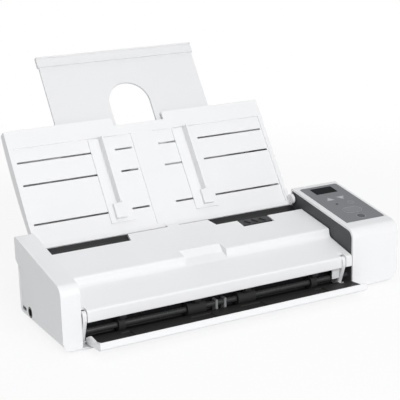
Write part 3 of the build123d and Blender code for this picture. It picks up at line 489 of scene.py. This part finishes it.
def floor_paint():
    material = bpy.data.materials.new("floor_paint")
    material.use_nodes = True
    nodes, links = material.node_tree.nodes, material.node_tree.links
    nodes.clear()
    out = nodes.new("ShaderNodeOutputMaterial")
    paint = nodes.new("ShaderNodeBsdfDiffuse")
    paint.inputs["Color"].default_value = (floor_white, floor_white, floor_white, 1)
    glow = nodes.new("ShaderNodeEmission")
    glow.inputs["Strength"].default_value = 1.0
    path = nodes.new("ShaderNodeLightPath")
    seen = nodes.new("ShaderNodeMath")
    seen.operation = "MAXIMUM"
    links.new(path.outputs["Is Camera Ray"], seen.inputs[0])
    links.new(path.outputs["Is Glossy Ray"], seen.inputs[1])
    seen_through = nodes.new("ShaderNodeMath")
    seen_through.operation = "MAXIMUM"
    links.new(seen.outputs["Value"], seen_through.inputs[0])
    links.new(path.outputs["Is Transmission Ray"], seen_through.inputs[1])
    place = nodes.new("ShaderNodeTexCoord")
    distance = nodes.new("ShaderNodeVectorMath")
    distance.operation = "LENGTH"
    links.new(place.outputs["Object"], distance.inputs[0])
    whiten = nodes.new("ShaderNodeMapRange")
    whiten.interpolation_type = "SMOOTHSTEP"
    whiten.inputs["From Min"].default_value = shadow_reach
    whiten.inputs["From Max"].default_value = white_reach
    whiten.inputs["To Min"].default_value = shadow_share
    whiten.inputs["To Max"].default_value = 1.0
    links.new(distance.outputs["Value"], whiten.inputs["Value"])
    share = nodes.new("ShaderNodeMath")
    share.operation = "MULTIPLY"
    links.new(seen_through.outputs["Value"], share.inputs[0])
    links.new(whiten.outputs["Result"], share.inputs[1])
    blend = nodes.new("ShaderNodeMixShader")
    links.new(share.outputs["Value"], blend.inputs["Fac"])
    links.new(paint.outputs["BSDF"], blend.inputs[1])
    links.new(glow.outputs["Emission"], blend.inputs[2])
    links.new(blend.outputs["Shader"], out.inputs["Surface"])
    return material


bpy.ops.mesh.primitive_plane_add(size=floor_size)
floor = bpy.context.object
floor.name = "floor"
floor.data.materials.append(floor_paint())

# Studio light: an even pale surround with one wide soft lamp above the scanner.
# A stronger soft lamp stands in front of it, a little to the left.
surround_colour = (0.97, 0.985, 1.0)
surround_level = 0.40
world = bpy.data.worlds.new("studio")
bpy.context.scene.world = world
world.use_nodes = True
world_nodes, world_links = world.node_tree.nodes, world.node_tree.links
surround = world_nodes["Background"]
surround.inputs["Color"].default_value = (*surround_colour, 1)
path = world_nodes.new("ShaderNodeLightPath")
seen_world = world_nodes.new("ShaderNodeMath")
seen_world.operation = "MAXIMUM"
world_links.new(path.outputs["Is Camera Ray"], seen_world.inputs[0])
world_links.new(path.outputs["Is Transmission Ray"], seen_world.inputs[1])
level = world_nodes.new("ShaderNodeMapRange")
level.inputs["To Min"].default_value = surround_level
level.inputs["To Max"].default_value = 1.0
world_links.new(seen_world.outputs["Value"], level.inputs["Value"])
world_links.new(level.outputs["Result"], surround.inputs["Strength"])


def soft_lamp(name, place, target, size, power):
    light = bpy.data.lights.new(name, "AREA")
    light.shape = "SQUARE"
    light.size = size
    light.energy = power
    lamp = bpy.data.objects.new(name, light)
    bpy.context.scene.collection.objects.link(lamp)
    lamp.location = place
    lamp.rotation_euler = (Vector(target) - Vector(place)).to_track_quat("-Z", "Y").to_euler()


middle = (0.0, 0.0, 0.08)
soft_lamp("overhead_lamp", place=(0.0, 0.1, 1.5), target=middle, size=1.4, power=5.5)
soft_lamp("front_lamp", place=(-0.15, -1.5, 0.8), target=middle, size=1.0, power=16.0)

# Camera: in front of the left end and a little above the machine, as in the photograph.
# Its lens is long, so that the far end looks only a little smaller.
camera_place = (-0.4491, -0.8511, 0.3501)
camera_azimuth = 28.36
camera_elevation = 15.80
camera_roll = -1.39
focal_pixels = 1152.0
frame_pixels = 400.0
sensor_width = 36.0
lens_data = bpy.data.cameras.new("camera")
lens_data.sensor_width = sensor_width
lens_data.lens = focal_pixels / frame_pixels * sensor_width
camera = bpy.data.objects.new("camera", lens_data)
bpy.context.scene.collection.objects.link(camera)
heading = Matrix.Rotation(-radians(camera_azimuth), 4, "Z")
tilt = Matrix.Rotation(radians(90 - camera_elevation), 4, "X")
roll = Matrix.Rotation(radians(camera_roll), 4, "Z")
camera.matrix_world = Matrix.Translation(camera_place) @ (heading @ tilt @ roll)
bpy.context.scene.camera = camera
bpy.context.scene.view_settings.view_transform = "Standard"
